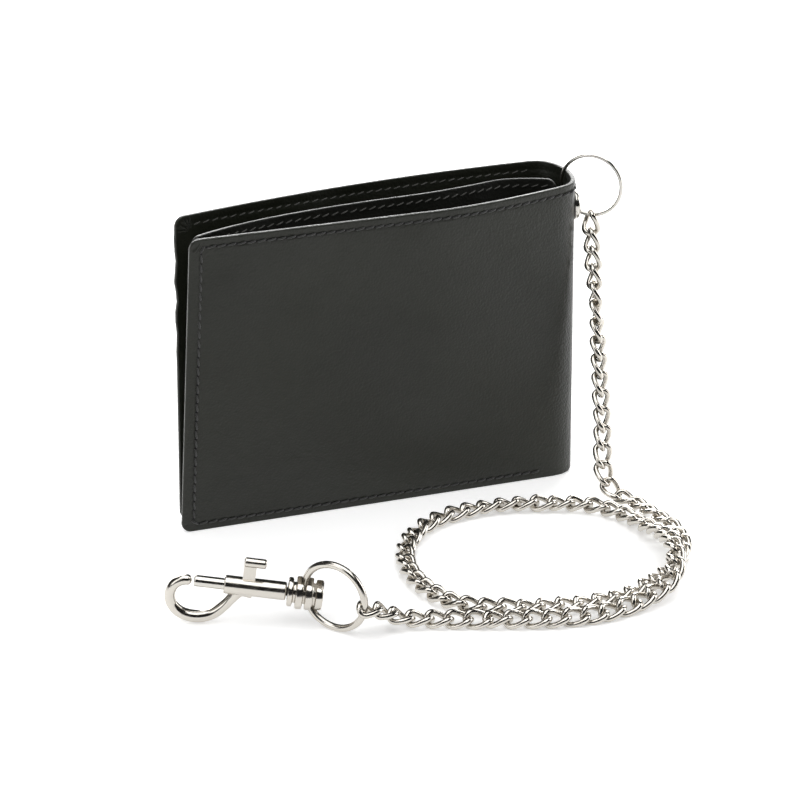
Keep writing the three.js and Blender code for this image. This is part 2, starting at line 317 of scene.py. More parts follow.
def spline(points, steps):
    """A centripetal Catmull-Rom curve through points, in steps even lengths."""
    p = np.array(points, float)
    p = np.vstack([2 * p[0] - p[1], p, 2 * p[-1] - p[-2]])
    out = []
    for i in range(1, len(p) - 2):
        a, b, c, d = p[i - 1:i + 3]
        t0 = 0.0
        t1 = t0 + np.linalg.norm(b - a) ** 0.5
        t2 = t1 + np.linalg.norm(c - b) ** 0.5
        t3 = t2 + np.linalg.norm(d - c) ** 0.5
        for t in np.linspace(t1, t2, SPLINE_STEPS, endpoint=False):
            ab = a + (b - a) * (t - t0) / (t1 - t0)
            bc = b + (c - b) * (t - t1) / (t2 - t1)
            cd = c + (d - c) * (t - t2) / (t3 - t2)
            abc = ab + (bc - ab) * (t - t0) / (t2 - t0)
            bcd = bc + (cd - bc) * (t - t1) / (t3 - t1)
            out.append(abc + (bcd - abc) * (t - t1) / (t2 - t1))
    out.append(p[-2])
    return evenly(np.array(out), steps)


def evenly(points, steps):
    """points resampled at steps + 1 even distances along their length."""
    walked = np.concatenate([[0], np.cumsum(np.linalg.norm(np.diff(points, axis=0), axis=1))])
    at = np.linspace(0, walked[-1], steps + 1)
    return np.stack([np.interp(at, walked, points[:, k]) for k in range(points.shape[1])], 1)


def length_of(points):
    """The length of a line of points."""
    return float(np.linalg.norm(np.diff(points, axis=0), axis=1).sum())


# ---------------------------------------------------------------- chain
WIRE = 0.78            # a link's wire, radius
LINK_LONG = 3.28       # half a link's length, along the wire's centre
LINK_WIDE = 2.06       # half its width
LINK_TWIST = math.radians(-50)   # how far each end is turned from the link's middle
LINK_EASE = 0.3        # the cosine under which a link's long sides run straight
LINK_CLEAR = 0.02      # how much nearer each other links sit than touching
PITCH = 2 * (LINK_LONG - WIRE) - LINK_CLEAR
CHAIN_LANDS = 80.0     # distance along it at which it reaches the floor
HANGING_ROLL = (       # how far the flat of the links is turned, by distance, in degrees
    (0, 28), (6, 58), (18, 70), (27, 95), (36, 124), (62, 140), (72, 158), (84, 180),
)
LANDS_EARLY = 8.0      # how far before CHAIN_LANDS the links start to turn flat
LANDS_OVER = 24.0      # and over how much length they do
SETTLE = 0.5           # how much lower the links lie than the cord's own round thickness
SWAY = 13.0            # slow roll of the lying links, in degrees, drawn every SWAY_LINKS links
SWAY_LINKS = 4
WOBBLE = (4, 10)       # each link's own roll in degrees, hanging and lying
RING = {"r": 8.6, "wire": 0.52, "yaw": -38}
SNAP_RING = {"r": 8.85, "wire": 0.95, "yaw": -48.5}

CHAIN_ROUTE = [        # its centreline, from the wallet ring to the snap ring
    (64.1, 8.0, 76.4), (64.0, 7.0, 71.4), (62.4, -2.9, 47), (60.7, -12.8, 22),
    (59.5, -18.9, 7.6), (61.8, -21.9, 3.2), (64.8, -26.5, 2.6), (67.4, -34.5, 2.6),
    (69.0, -44.5, 2.6), (67.0, -54.2, 2.6), (61.9, -61.8, 2.6), (54.7, -68.2, 2.6),
    (46.2, -73.0, 2.6), (36.1, -75.2, 2.6), (22.0, -74.2, 2.6), (9.4, -70.6, 2.6),
    (1.6, -66.8, 2.6), (-3.6, -60.7, 2.6), (-6.5, -52.0, 2.6), (-6.8, -42.5, 2.6),
    (-4.2, -32.8, 2.6), (1.5, -24.4, 2.6), (10.5, -18.2, 2.6), (27.0, -15.7, 2.6),
    (44.5, -20.0, 2.6), (53.5, -24.4, 2.6), (59.4, -31.5, 2.6), (62.2, -42.0, 3.4),
    (62.6, -51.5, 5.6), (61.2, -60.5, 7.4), (58.6, -68.6, 7.0), (54.2, -74.8, 5.0),
    (46.0, -78.8, 3.2), (34.0, -81.5, 2.6), (22.0, -80.8, 2.6), (11.0, -77.8, 2.6),
    (-9.0, -71.0, 2.6), (-17.0, -68.9, 3.4), (-22.6, -69.4, 6.4), (-29.7, -71.2, 9.3),
]
route = spline(CHAIN_ROUTE, 2400)
ROUTE_LONG = length_of(route)


def on_route(s):
    """The point at a distance along the chain's route."""
    x = min(max(s / ROUTE_LONG, 0.0), 1.0) * (len(route) - 1)
    i = min(int(x), len(route) - 2)
    return Vector(lerp(route[i], route[i + 1], x - i))


def link(middle, along, flat, round_steps=34):
    """One twisted link's line. along is its length, and flat across it in the chain's plane."""
    along = along.normalized()
    flat = (flat - along * flat.dot(along)).normalized()
    up = along.cross(flat)
    line = []
    straight = LINK_LONG - LINK_WIDE
    for k in range(round_steps):
        a = math.tau * k / round_steps
        u = LINK_WIDE * math.cos(a) + math.copysign(straight, math.cos(a))
        if abs(math.cos(a)) < LINK_EASE:
            u = LINK_WIDE * math.cos(a) + straight * math.cos(a) / LINK_EASE
        v = LINK_WIDE * math.sin(a)
        turn = LINK_TWIST * u / LINK_LONG
        line.append(middle + along * u + flat * v * math.cos(turn) + up * v * math.sin(turn))
    return line


chain = Soup()
links = int((ROUTE_LONG - 2 * LINK_LONG) / PITCH) + 1
spare = ROUTE_LONG - 2 * LINK_LONG - (links - 1) * PITCH
step = PITCH + spare / (links - 1)     # the links are spread over the whole route
wobble = np.random.default_rng(7)
facing = Vector((math.cos(CAMERA_TURN), -math.sin(CAMERA_TURN), 0))   # where a roll of 0 faces
sway = [wobble.normal(0, SWAY) for _ in range(links // SWAY_LINKS + 3)]
for i in range(links):
    s = LINK_LONG + i * step
    middle = on_route(s)
    along = (on_route(s + LINK_LONG) - on_route(s - LINK_LONG)).normalized()
    hung = Matrix.Rotation(math.radians(np.interp(s, *zip(*HANGING_ROLL))), 3, along) @ facing
    slow = np.interp(i / SWAY_LINKS, range(len(sway)), sway)
    lying = Matrix.Rotation(math.radians(slow), 3, along) @ along.cross(Vector((0, 0, 1)))
    share = min(max((s - CHAIN_LANDS + LANDS_EARLY) / LANDS_OVER, 0), 1)
    flat = hung.lerp(lying.normalized(), share)
    middle.z -= SETTLE * share
    roll = wobble.normal(0, WOBBLE[0] if s < CHAIN_LANDS else WOBBLE[1])
    turned = Matrix.Rotation(math.radians(roll), 3, along) @ flat
    chain.tube(link(middle, along, turned), WIRE, sides=10, closed=True)
chain_obj = chain.make("chain", NICKEL, "nickel")
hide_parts("chain_hanging", "chain_floor")


# ---------------------------------------------------------------- rings
def ring_line(spec, centre, steps=96):
    """Points round an upright ring, from its facing side."""
    yaw = math.radians(spec["yaw"])
    side = Vector((math.cos(yaw), math.sin(yaw), 0))
    turns = (math.tau * k / steps for k in range(steps))
    return [
        Vector(centre) + side * spec["r"] * math.cos(a) + Vector((0, 0, spec["r"] * math.sin(a)))
        for a in turns
    ]


def make_ring(name, node, spec, finish, sides):
    """A ring of round wire, centred on the frame's node of the same name as its body."""
    low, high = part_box(node)
    soup = Soup()
    soup.tube(ring_line(spec, ((low + high) / 2 - ORIGIN) / MM), spec["wire"], sides=sides,
              closed=True)
    obj = soup.make(name, finish, "nickel")
    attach(obj, node)
    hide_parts(node)
    return obj


wallet_ring_obj = make_ring("ring_on_wallet", "wallet_ring", RING, BRIGHT, 14)
snap_ring_obj = make_ring("ring_on_snap", "snap_ring", SNAP_RING, NICKEL, 16)

# ---------------------------------------------------------------- bolt snap
AXIS_R = 0.01          # how near the axis a turned profile ends
SNAP = {"x": -39.6, "y": -57.8, "z": 8.1, "yaw": -18.2, "pitch": 8.0}
SNAP_TURN = Matrix.Rotation(math.radians(SNAP["yaw"]), 3, "Z") \
    @ Matrix.Rotation(math.radians(SNAP["pitch"]), 3, "Y") \
    @ Matrix.Rotation(math.pi / 2, 3, "X")
SNAP_AT = Vector((SNAP["x"], SNAP["y"], SNAP["z"]))


def in_snap(p):
    """A point in the snap's own frame, +X along its barrel and +Y up, in the wallet's."""
    return SNAP_AT + SNAP_TURN @ Vector(p)


def turned_part(soup, profile, sides=48, middle=(0.0, 0.0)):
    """A profile of (x, radius) turned about the snap's axis."""
    rows = []
    for x, r in profile:
        row = []
        for k in range(sides):
            a = math.tau * k / sides
            row.append(in_snap((x, middle[0] + r * math.cos(a), middle[1] + r * math.sin(a))))
        rows.append(row)
    soup.grid(rows, closed_u=True)


def eased(profile, bevel):
    """A profile with each of its corners cut by a small round."""
    points = [np.array(p, float) for p in profile]
    out = [points[0]]
    for a, b, c in zip(points, points[1:], points[2:]):
        back, on = a - b, c - b
        r = min(bevel, 0.45 * np.linalg.norm(back), 0.45 * np.linalg.norm(on))
        start = b + back / np.linalg.norm(back) * r
        end = b + on / np.linalg.norm(on) * r
        for t in (0.0, 0.33, 0.67, 1.0):
            out.append(lerp(lerp(start, b, t), lerp(b, end, t), t))
    out.append(points[-1])
    return [tuple(p) for p in out]


def cut_with_box(obj, low, high):
    """Cuts a box given in the snap's own frame out of obj."""
    corners = [
        in_snap((x, y, z)) for x in (low[0], high[0]) for y in (low[1], high[1])
        for z in (low[2], high[2])
    ]
    faces = [(0, 1, 3, 2), (4, 6, 7, 5), (0, 4, 5, 1), (2, 3, 7, 6), (0, 2, 6, 4), (1, 5, 7, 3)]
    tool = piece("cutter", corners, faces, NICKEL)
    cut = obj.modifiers.new("cut", "BOOLEAN")
    cut.operation = "DIFFERENCE"
    cut.object = tool
    cut.solver = "EXACT"
    bpy.context.view_layer.update()
    made = bpy.data.meshes.new_from_object(obj.evaluated_get(
        bpy.context.evaluated_depsgraph_get()))
    obj.modifiers.clear()
    obj.data = made
    bpy.data.objects.remove(tool)


def crisp(obj, angle=32):
    """Keeps edges sharper than angle, in degrees, from being shaded smooth."""
    obj.data.set_sharp_from_angle(angle=math.radians(angle))


HEAD_PROFILE = [           # the stem in the barrel, then the head's three ribs: x and radius
    (-6.5, AXIS_R), (-6.5, 1.0), (-4.8, 1.0), (-4.8, 3.8), (-3.4, 3.8), (-3.4, 2.7),
    (-2.7, 2.7), (-2.7, 4.25), (-0.8, 4.25), (-0.8, 2.9), (-0.3, 2.9), (-0.3, 4.2),
    (1.7, 4.2), (1.7, 3.0), (2.4, 3.0), (2.4, 3.9), (4.3, 3.9), (4.3, AXIS_R),
]
head = Soup()
turned_part(head, HEAD_PROFILE[:1] + eased(HEAD_PROFILE, 0.55))
head_obj = head.make("swivel_head_cast", NICKEL, "nickel")
cut_with_box(head_obj, (-2.55, -6, -2.2), (3.75, 6, 2.2))    # the slot that holds the ring
crisp(head_obj)
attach(head_obj, "swivel")
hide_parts("swivel_head")

BARREL = (-21.0, -5.1)     # its ends along the snap's axis
BARREL_R = 2.4
MOUTH_R = 1.6              # the bolt's bore at its open end
STEM_BORE_R = 1.3          # and the swivel's at the other
BOLT = (-28.7, -13.2)
BOLT_R = 1.5
KNOB = (-16.6, -10.9)      # the thumb piece's round bar, beside the barrel
KNOB_R = 1.25
KNOB_Y = 7.0
STEM_X = -14.9             # the flat stem between that and the bolt
STEM_HALF = (1.6, 0.6)
STEM_FOOT = 1.2
barrel = Soup()
turned_part(barrel, [(BARREL[0] + 0.4, MOUTH_R)] + eased([
    (BARREL[0] + 0.4, MOUTH_R), (BARREL[0], MOUTH_R), (BARREL[0], BARREL_R),
    (BARREL[1], BARREL_R), (BARREL[1], STEM_BORE_R),
], 0.5))
barrel_obj = barrel.make("snap_barrel", NICKEL, "nickel")
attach(barrel_obj, "hook")

HOOK_LINE = [              # its wire's centre, from inside the barrel round to the bolt's tip
    (-13.8, -0.9, 0), (-16.6, -1.2, 0), (-18.4, -3.4, 0), (-20.4, -6.3, 0), (-23.2, -9.0, 0),
    (-27.0, -10.2, 0), (-30.8, -9.7, 0), (-33.5, -7.5, 0), (-34.4, -4.5, 0),
    (-33.5, -1.7, 0), (-31.5, -0.2, 0), (-29.2, 0.1, 0),
]
HOOK_TIP = 0.03            # the share of its length over which its tip rounds off


def hook_radius(t):
    """The hook's wire, thickest low on its bend and where it leaves the barrel."""
    r = 1.36 + 0.27 * math.exp(-((t - 0.5) / 0.2) ** 2) + 0.75 * max(0.0, 1 - t / 0.2) ** 1.4
    tip = max(0.0, 1 - (1 - t) / HOOK_TIP)
    return r * math.sqrt(max(0.0, 1 - tip ** 2)) + 0.001


hook = Soup()
hook.tube([in_snap(p) for p in spline(HOOK_LINE, 160)], hook_radius, sides=24)
hook_obj = hook.make("snap_hook", NICKEL, "nickel")
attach(hook_obj, "hook")
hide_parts("hook_body")

pin = Soup()
turned_part(pin, eased([
    (BOLT[0], AXIS_R), (BOLT[0], BOLT_R), (BOLT[1], BOLT_R), (BOLT[1], AXIS_R),
], 0.5), sides=28)
pin_obj = pin.make("snap_bolt", BRIGHT, "nickel")
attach(pin_obj, "bolt")
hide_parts("bolt")

thumb = Soup()
turned_part(thumb, eased([
    (KNOB[0], AXIS_R), (KNOB[0], KNOB_R), (KNOB[1], KNOB_R), (KNOB[1], AXIS_R),
], 0.9), sides=24, middle=(KNOB_Y, 0.0))
thumb_obj = thumb.make("thumb_knob", NICKEL, "nickel")
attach(thumb_obj, "bolt")
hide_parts("thumb_piece")
corners = []
for y in (STEM_FOOT, KNOB_Y):
    for x, z in ((-1, -1), (1, -1), (1, 1), (-1, 1)):
        corners.append(in_snap((STEM_X + x * STEM_HALF[0], y, z * STEM_HALF[1])))
stem = Soup()
stem.add(corners, [(0, 1, 2, 3), (7, 6, 5, 4), (0, 4, 5, 1), (1, 5, 6, 2), (2, 6, 7, 3),
                   (3, 7, 4, 0)])
stem_obj = stem.make("thumb_stem", NICKEL, "nickel")
crisp(stem_obj)
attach(stem_obj, "bolt")

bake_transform(chain_obj)


# ---------------------------------------------------------------- leather
def front_face(x, h):
    """The front cover's outer face at x, at the share h of its height."""
    bend = np.clip((x - PULL_FROM) / (SPINE_X - PULL_FROM), 0, 1) ** 1.6
    return -FRONT_BOW * h + SPINE_PULL * h * bend


def back_face(x, h):
    """The back cover's outer face."""
    across = (SPINE_X - x) / (SPINE_X - LEFT)
    bottom = lerp(BACK_SPINE_Y, BACK_LEFT_Y, across)
    top = BACK_TOP_Y - BACK_TOP_DROP * ((BOW_X - np.minimum(x, BOW_X)) / BOW_REACH) ** 2
    return lerp(bottom, top, h)


def bill_gape(x, h):
    """How far the front's inner panel stands away from the cover."""
    rise = BILL_GAPE * (1 - np.exp(-(x - LEFT - 1) / GAPE_EASE))
    ease = CLOSE_BY * (np.maximum(x - CLOSE_FROM, 0) / CLOSE_OVER) ** 1.6
    return np.maximum(0, rise - ease) * h


def arc(centre_x, low, high, depth, inset, angles):
    """Part of an ellipse that bulges to +X between y low and high, drawn in by inset."""
    half = (high - low) / 2 - inset
    return np.stack([
        centre_x + (depth - inset) * np.cos(angles),
        (low + high) / 2 + half * np.sin(angles),
    ], 1)


def smooth(points, passes):
    """Softens a line's corners, its ends kept."""
    for _ in range(passes):
        points = points.copy()
        points[1:-1] = 0.25 * points[:-2] + 0.5 * points[1:-1] + 0.25 * points[2:]
    return points


EDGE_STEPS = [0, 0.05, 0.14, 0.28, 0.5, 0.9, 1.5, 2.1, 2.5, 2.9, 3.3, 3.8, 4.6]
COLUMNS = 46           # points across a sheet beyond those steps in from its edge
ROWS = 27              # and up it
ROWS_IN = 6.5          # how far from its top and bottom those rows start
EDGE_ROUND = 0.27      # the share of its thickness that its edges are rounded by


class Leather:
    """A sheet that stands on its edge, given by a line across it at each height.

    u is the distance from its free edge and v the height. line(v) returns the middle of its
    thickness as points from the free edge on. It is open at the far end where it meets its
    other half at the middle of the spine, unless closed says otherwise. flip is for a sheet
    whose line runs the other way round. sewn pulls its face in along the seams.
    """

    def __init__(self, line, bottom, top, thick, corner, closed=False, flip=False, sewn=False):
        self.line, self.bottom, self.top = line, bottom, top
        self.thick, self.corner, self.closed = thick, corner, closed
        self.flip, self.sewn = flip, sewn
        self.kept = {}

    def middle(self, u, v):
        """The middle of the thickness at u and v."""
        key = round(float(v), 4)
        if key not in self.kept:
            points = self.line(key)
            gone = np.linalg.norm(np.diff(points, axis=0), axis=1)
            self.kept[key] = (points, np.concatenate([[0], np.cumsum(gone)]))
        points, walked = self.kept[key]
        x = np.interp(u, walked, points[:, 0])
        y = np.interp(u, walked, points[:, 1])
        return Vector((x, y, v))

    def long(self, v):
        """How long the line is at height v."""
        self.middle(0, v)
        return float(self.kept[round(float(v), 4)][1][-1])

    def normal(self, u, v):
        """Towards the outside of the wallet, or the other way if flip."""
        reach = 0.5
        total = self.long(v)
        a, b = max(u - reach, 0), min(u + reach, total)
        across = self.middle(b, v) - self.middle(a, v)
        share = u / total
        low, high = max(v - 1, self.bottom), min(v + 1, self.top)
        up = self.middle(share * self.long(high), high) - self.middle(share * self.long(low), low)
        n = across.cross(up).normalized()
        return -n if self.flip else n

    def from_edge(self, u, v):
        """How far a point is from the nearest edge, corners rounded."""
        dv = min(v - self.bottom, self.top - v)
        du = min(u, self.long(v) - u) if self.closed else u
        c = self.corner
        if du < c and dv < c:
            return max(0.0, c - math.hypot(c - du, c - dv))
        return max(0.0, min(du, dv))

    def half(self, d):
        """Half the thickness at distance d from the edge."""
        r = EDGE_ROUND * self.thick
        inside = r - min(d, r)
        return self.thick / 2 - r + math.sqrt(max(0.0, r * r - inside * inside))

    def sunk(self, u, v):
        """How far the stitches pull the face in at a point."""
        if not self.sewn:
            return 0.0
        dv = min(v - self.bottom, self.top - v)
        to_end = (self.long(v) - BOTTOM_PULL_SHORT - u) / BOTTOM_PULL_FADE
        held = 1.0 if v > HEIGHT / 2 else min(max(to_end, 0), 1)
        deep = 0.0
        for off, other, share in ((dv - SEAM_IN, u, held), (u - SEAM_SIDE, dv, 1.0)):
            if other > SEAM_STARTS:
                deep = max(deep, SEAM_DEEP * share * math.exp(-(off / SEAM_BROAD) ** 2))
        return deep

    def surface(self, u, v, side=1, lift=0.0):
        """A point on the face (side 1) or on the back (side -1), lift above it."""
        n = self.normal(u, v)
        d = self.from_edge(u, v)
        return self.middle(u, v) + n * side * (self.half(d) - self.sunk(u, v) + lift)

    def corner_in(self, v):
        """How far the rounded corners draw the free edge in at height v."""
        dv = min(v - self.bottom, self.top - v)
        c = self.corner
        return c - math.sqrt(c * c - (c - dv) ** 2) if dv < c else 0.0

    def columns(self, v):
        """The distances from the free edge at which a row of points at height v stands."""
        total, start = self.long(v), self.corner_in(v)
        near = [start + s for s in EDGE_STEPS]
        if not self.closed:
            return near + list(np.linspace(near[-1], total, COLUMNS + 1)[1:])
        far = [total - start - s for s in reversed(EDGE_STEPS)]
        return near + list(np.linspace(near[-1], far[0], COLUMNS + 2)[1:-1]) + far

    def rim(self, n, m):
        """Faces between the face and the back, each a grid of n rows of m points."""
        def at(i, j):
            return i * m + j

        def behind(i, j):
            return n * m + i * m + (m - 1 - j)

        faces = []
        for j in range(m - 1):
            faces.append((at(0, j + 1), at(0, j), behind(0, j), behind(0, j + 1)))
            faces.append((at(n - 1, j), at(n - 1, j + 1), behind(n - 1, j + 1),
                          behind(n - 1, j)))
        for i in range(n - 1):
            faces.append((at(i, 0), at(i + 1, 0), behind(i + 1, 0), behind(i, 0)))
            if self.closed:
                faces.append((at(i + 1, m - 1), at(i, m - 1), behind(i, m - 1),
                              behind(i + 1, m - 1)))
        return faces

    def build(self, name, finish, slot, ripple=0.0, seed=0):
        """The sheet as a piece. ripple is the depth of its slow waves, drawn from seed."""
        tall = self.top - self.bottom
        inner = np.linspace(ROWS_IN, tall - ROWS_IN, ROWS)
        heights = EDGE_STEPS + list(inner) + [tall - s for s in reversed(EDGE_STEPS)]
        rng = np.random.default_rng(seed)
        waves = [(rng.uniform(0.03, 0.16), rng.uniform(0.02, 0.1), rng.uniform(0, 6.28))
                 for _ in range(5)]
        face, back = [], []
        for v in (self.bottom + h for h in heights):
            total = self.long(v)
            face_row, back_row = [], []
            for u in self.columns(v):
                n = self.normal(u, v)
                d = self.from_edge(u, v)
                wave = sum(math.sin(u * p + v * q + r) for p, q, r in waves) * ripple
                fade = min(1.0, d / 6.0) * min(1.0, abs(total - u) / 8.0)
                middle = self.middle(u, v) + n * wave * fade
                out = n * (self.half(d) - self.sunk(u, v))
                face_row.append(middle + out)
                back_row.append(middle - out)
            face.append(face_row)
            back.append(back_row[::-1])
        soup = Soup()
        soup.grid(face)
        soup.grid(back)
        soup.faces.extend(self.rim(len(face), len(face[0])))
        if self.flip:
            soup.faces = [f[::-1] for f in soup.faces]
        return soup.make(name, finish, slot)


def round_spine(cover, h, turn):
    """A cover's line, run on round the spine from the angle turn as far as its middle."""
    low, high = front_face(SPINE_X, h), back_face(SPINE_X, h)
    angles = np.linspace(turn, 0, 40)[1:]
    bend = arc(SPINE_X, low, high, lerp(*SPINE_DEPTH, h), SHELL / 2, angles)
    return smooth(evenly(np.vstack([cover, bend]), 400), 60)


def outer_front_line(v):
    h = v / HEIGHT
    x = np.linspace(LEFT + FRONT_LEAN_IN * h, SPINE_X, 120)
    return round_spine(np.stack([x, front_face(x, h) + SHELL / 2], 1), h, -math.pi / 2)


def outer_back_line(v):
    """Its free edge is worn into soft lumps in its upper part."""
    h = v / HEIGHT
    lumps = 0.35 * math.sin(0.6 * v + 1.0) * math.exp(-(((v - 66) / 14) ** 2))
    x = np.linspace(BACK_LEFT + BACK_LEAN_IN * h + lumps, SPINE_X, 120)
    return round_spine(np.stack([x, back_face(x, h) - SHELL / 2], 1), h, math.pi / 2)


def inner_front_y(x, h):
    return front_face(x, h) + SHELL + SHEET_GAP + bill_gape(x, h) + PANEL / 2


def inner_back_y(x, h):
    return back_face(x, h) - SHELL - SHEET_GAP - PANEL / 2


def front_panel_line(v):
    h = v / HEIGHT
    x = np.linspace(LEFT + FRONT_LEAN_IN * h + 1.6, 55.0, 160)
    return evenly(np.stack([x, inner_front_y(x, h)], 1), 300)


def fold_line(from_front):
    """The back panel's line round the inside of the fold, from one side to its middle."""
    def line(v):
        h = v / HEIGHT
        low, high = inner_front_y(FOLD_X, h) + PANEL, inner_back_y(FOLD_X, h)
        if from_front:
            x = np.linspace(38, FOLD_X, 30)
            leaf = np.stack([x, inner_front_y(x, h) + PANEL], 1)
            turn = np.linspace(-math.pi / 2, 0, 30)[1:]
        else:
            x = np.linspace(BACK_LEFT + 5 + BACK_LEAN_IN * h, FOLD_X, 120)
            leaf = np.stack([x, inner_back_y(x, h)], 1)
            turn = np.linspace(math.pi / 2, 0, 30)[1:]
        bend = arc(FOLD_X, low, high, 4.0, 0.0, turn)
        return smooth(evenly(np.vstack([leaf, bend]), 300), 40)
    return line


outer_front = Leather(outer_front_line, 0, HEIGHT, SHELL, CORNER, sewn=True)
outer_back = Leather(outer_back_line, 0, HEIGHT, SHELL, CORNER, flip=True, sewn=True)
inner_front = Leather(front_panel_line, PANEL_FOOT, HEIGHT - 1.0, PANEL, CORNER, closed=True)
inner_back = Leather(fold_line(False), PANEL_FOOT, BACK_PANEL_TOP, PANEL, CORNER, flip=True)
inner_fold = Leather(fold_line(True), PANEL_FOOT, BACK_PANEL_TOP, PANEL, 0.6)
front_obj = outer_front.build("cover_front", OUTER, "outer_leather", ripple=0.05, seed=1)
back_obj = outer_back.build("cover_back", OUTER, "outer_leather", ripple=0.06, seed=2)
inner_front_obj = inner_front.build("panel_front", INNER, "panel_leather", ripple=0.05, seed=3)
inner_back_obj = inner_back.build("panel_back", INNER, "panel_leather", ripple=0.05, seed=4)
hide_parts("outer_shell_front", "outer_shell_spine")
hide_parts("outer_shell_back")
fold_obj = inner_fold.build("panel_fold", INNER, "panel_leather")
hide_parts("inner_panel_front")
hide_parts("inner_panel_fold")
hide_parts("inner_panel_back")


FOLD_BENDS = (41.0, 52.0)      # where the inner panels bend, across the wallet; bends() does not use them


def bends(obj, front, start=47.0, end=57.5):
    """Bakes obj's placement into its mesh. front, start and end are not used."""
    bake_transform(obj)


bends(front_obj, True)
bends(back_obj, False)
bends(fold_obj, True, *FOLD_BENDS)
bends(inner_back_obj, False, *FOLD_BENDS)
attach(inner_front_obj, "front_leaf")


# ---------------------------------------------------------------- card pockets
def pocket_line(y_of, left, right, out):
    def line(v):
        h = v / HEIGHT
        x = np.linspace(left, right, 160)
        return np.stack([x, y_of(x, h) + out], 1)
    return line


POCKET_RIGHT = 41.0
POCKET_FOOT = 2.5
FIRST_GAP = 0.15       # between a panel and the first pocket on it
POCKETS = {            # their tops, left edges, panels, and which way from these they stand
    "front": {"tops": (74, 64, 54), "left": -50.5, "panel": inner_front_y, "sign": 1},
    "back": {"tops": (73, 60), "left": -49.5, "panel": inner_back_y, "sign": -1},
}
pockets = []
for side, row in POCKETS.items():
    for k, top in enumerate(row["tops"]):
        away = PANEL / 2 + FIRST_GAP + POCKET / 2 + k * (POCKET + SHEET_GAP)
        line = pocket_line(row["panel"], row["left"], POCKET_RIGHT, row["sign"] * away)
        sheet = Leather(line, POCKET_FOOT, top, POCKET, 1.0, closed=True, flip=side == "front")
        obj = sheet.build(f"pocket_{side}_{k + 1}", INNER, "pocket_leather")
        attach(obj, f"{side}_leaf")
        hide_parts(f"card_pocket_{side}_{k + 1}")
        pockets.append((side, sheet))


# ---------------------------------------------------------------- stitches
STITCH_STEPS = 12      # points along the seam for each stitch
HOLE_SHADE_R = 0.34          # painted shade: the radius of the near-black dot at a needle hole
# how far under the face the dot of painted shade in a needle hole starts
HOLE_SHADE_DEEP = 0.1


def stitches(soup, hole_shades, sheet, line, side, thread=0.27, share=0.84, slant=0.0):
    """Stitches end to end along a line of (u, v), each sinking into the leather at its ends.

    side is 1 on the sheet's face and -1 on its back, thread the thread's radius, share how much
    of the way to the next stitch each one covers, and slant how far each leans over.
    """
    line = np.array(line, float)
    count = int(length_of(line) / STITCH)
    dense = evenly(line, count * STITCH_STEPS)
    for k in range(count):
        run = dense[k * STITCH_STEPS:(k + 1) * STITCH_STEPS + 1]
        mid = run[STITCH_STEPS // 2]
        d = (run[-1] - run[0]) / np.linalg.norm(run[-1] - run[0])
        across = np.array([-d[1], d[0]])
        d = d + slant * across
        d = d / np.linalg.norm(d)
        points = []
        for t in np.linspace(-0.5, 0.5, 7):
            at = mid + d * t * STITCH * share
            lift = thread * (0.95 - 5.5 * abs(t) ** 2.4)
            points.append(sheet.surface(float(at[0]), float(at[1]), side, lift))
        soup.tube(points, lambda t: thread * (1 - 0.3 * abs(2 * t - 1) ** 3), sides=7)
        # A dot of painted shade where the stitch goes into its needle hole.
        if hole_shades is not None:
            u, v = (float(x) for x in run[-1])
            centre = sheet.surface(u, v, side, -HOLE_SHADE_DEEP)
            n = sheet.normal(u, v) * side
            hole_shades.tube([centre, centre + n * 0.18], HOLE_SHADE_R, sides=8)


def edge_path(sheet, start, end):
    """(u, v) along the seam: from the bottom's far end, up the free edge, along the top."""
    low, high = sheet.bottom + SEAM_IN, sheet.top - SEAM_IN
    side = SEAM_SIDE
    cut = 0.8              # how much of each corner the seam cuts off
    return [(start, low), (side + cut, low), (side, low + cut), (side, high - cut),
            (side + cut, high), (end, high)]


def sew_cover(name, sheet, front):
    """A cover's seam of thread, with a dot of painted shade at each needle hole, on its outer
    face.
    """
    thread, hole_shades = Soup(), Soup()
    far = sheet.long(HEIGHT - SEAM_IN) - 0.5
    near = sheet.long(SEAM_IN) - BOTTOM_SEAM_SHORT
    stitches(thread, hole_shades, sheet, edge_path(sheet, near, far), 1, slant=0.22)
    for soup, kind, finish in ((thread, "thread", THREAD), (hole_shades, "hole_shades", HOLE_SHADE)):
        bends(soup.make(f"{name}_{kind}", finish, "outer_leather"), front)


sew_cover("seam_front", outer_front, True)
sew_cover("seam_back", outer_back, False)

# The pale stitches on the inside of the top edges.
inside = Soup()
top = HEIGHT - 2.6
stitches(inside, None, outer_back, [(5, top), (106, top)], -1, thread=0.16, share=0.7, slant=0.25)
bends(inside.make("seam_inside_back", PALE_THREAD, "outer_leather"), False)
inside = Soup()
top = inner_front.top - 2.0
line = [(10, top), (inner_front.long(top) - 2, top)]
stitches(inside, None, inner_front, line, 1, thread=0.17, share=0.75, slant=0.35)
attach(inside.make("seam_inside_front", PALE_THREAD, "panel_leather"), "front_leaf")


GATHER_IN = 4.4        # how far in from both edges the pleats meet
GATHER_REACH = (4.1, 4.6)  # how long they are, by turns


def gathers(name, sheet, side, turns, front):
    """Small pleats that fan out of a top corner, where the turned edge is bunched up."""
    soup = Soup()
    centre = np.array([GATHER_IN, sheet.top - GATHER_IN])
    for k, turn in enumerate(turns):
        reach = GATHER_REACH[k % 2]
        points = []
        for t in np.linspace(0.12, 1.0, 12):
            a = turn + 0.25 * math.sin(2.5 * k) * (1 - t)
            u, v = centre + np.array([-math.cos(a), math.sin(a)]) * reach * t
            sunk = 0.06 + 0.12 * (2 * t - 1) ** 2
            points.append(sheet.surface(float(u), float(v), side, -sunk))
        soup.tube(points, lambda t: 0.1 + 0.2 * math.sin(math.pi * t), sides=9)
    bends(soup.make(name, OUTER, "outer_leather"), front)


